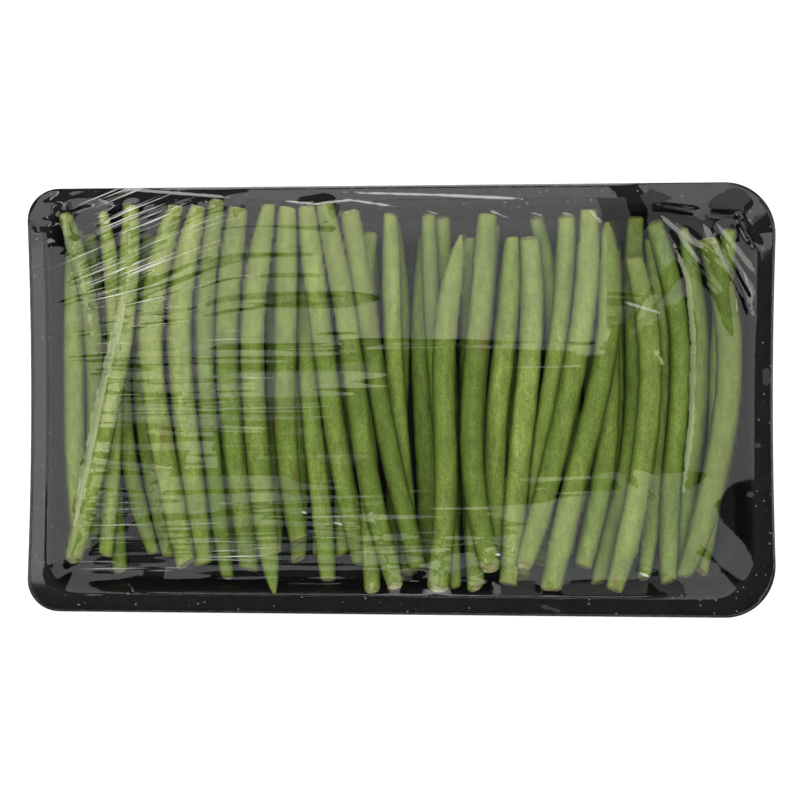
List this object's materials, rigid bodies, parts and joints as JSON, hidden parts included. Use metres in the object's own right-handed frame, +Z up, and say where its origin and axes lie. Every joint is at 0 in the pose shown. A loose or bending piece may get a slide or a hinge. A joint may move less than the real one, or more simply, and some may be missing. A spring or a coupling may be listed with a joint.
{
  "type": "green bean bundle",
  "caption": "Trimmed green beans lying side by side in a shallow rectangular foam tray, overwrapped in clear stretch film.",
  "frame": {"origin": "on the resting surface, under the middle of the pack", "axes": "+X along the tray's long side, +Y across the tray, along the beans, +Z up"},
  "size_m": [0.2246, 0.1316, 0.0305],
  "materials": {
    "foam": "black expanded polystyrene foam, pitted, semi-matt",
    "bean": "smooth waxy green skin, stands in for plant tissue",
    "bean_shaded": "smooth waxy green skin of the lower beans",
    "film": "clear glossy stretch film"
  },
  "bodies": {
    "root": {"foam_tray": "foam", "bean_01": "bean_shaded", "bean_02": "bean_shaded", "bean_03": "bean_shaded", "bean_04": "bean_shaded", "bean_05": "bean_shaded", "bean_06": "bean_shaded", "bean_07": "bean_shaded", "bean_08": "bean_shaded", "bean_09": "bean_shaded", "bean_10": "bean_shaded", "bean_11": "bean_shaded", "bean_12": "bean_shaded", "bean_13": "bean_shaded", "bean_14": "bean_shaded", "bean_15": "bean_shaded", "bean_16": "bean_shaded", "bean_17": "bean_shaded", "bean_18": "bean_shaded", "bean_19": "bean_shaded", "bean_20": "bean_shaded", "bean_21": "bean_shaded", "bean_22": "bean_shaded", "bean_23": "bean", "bean_24": "bean", "bean_25": "bean", "bean_26": "bean", "bean_27": "bean", "bean_28": "bean", "bean_29": "bean", "bean_30": "bean", "bean_31": "bean", "bean_32": "bean", "bean_33": "bean", "bean_34": "bean", "bean_35": "bean", "bean_36": "bean", "bean_37": "bean", "bean_38": "bean", "bean_39": "bean", "bean_40": "bean", "bean_41": "bean", "bean_42": "bean", "bean_43": "bean", "bean_44": "bean", "bean_45": "bean", "bean_46": "bean", "bean_47": "bean", "bean_48": "bean", "bean_49": "bean", "bean_50": "bean", "bean_51": "bean", "bean_52": "bean", "bean_53": "bean", "bean_54": "bean", "bean_55": "bean", "bean_56": "bean", "stretch_film": "film"}
  },
  "joints": []
}
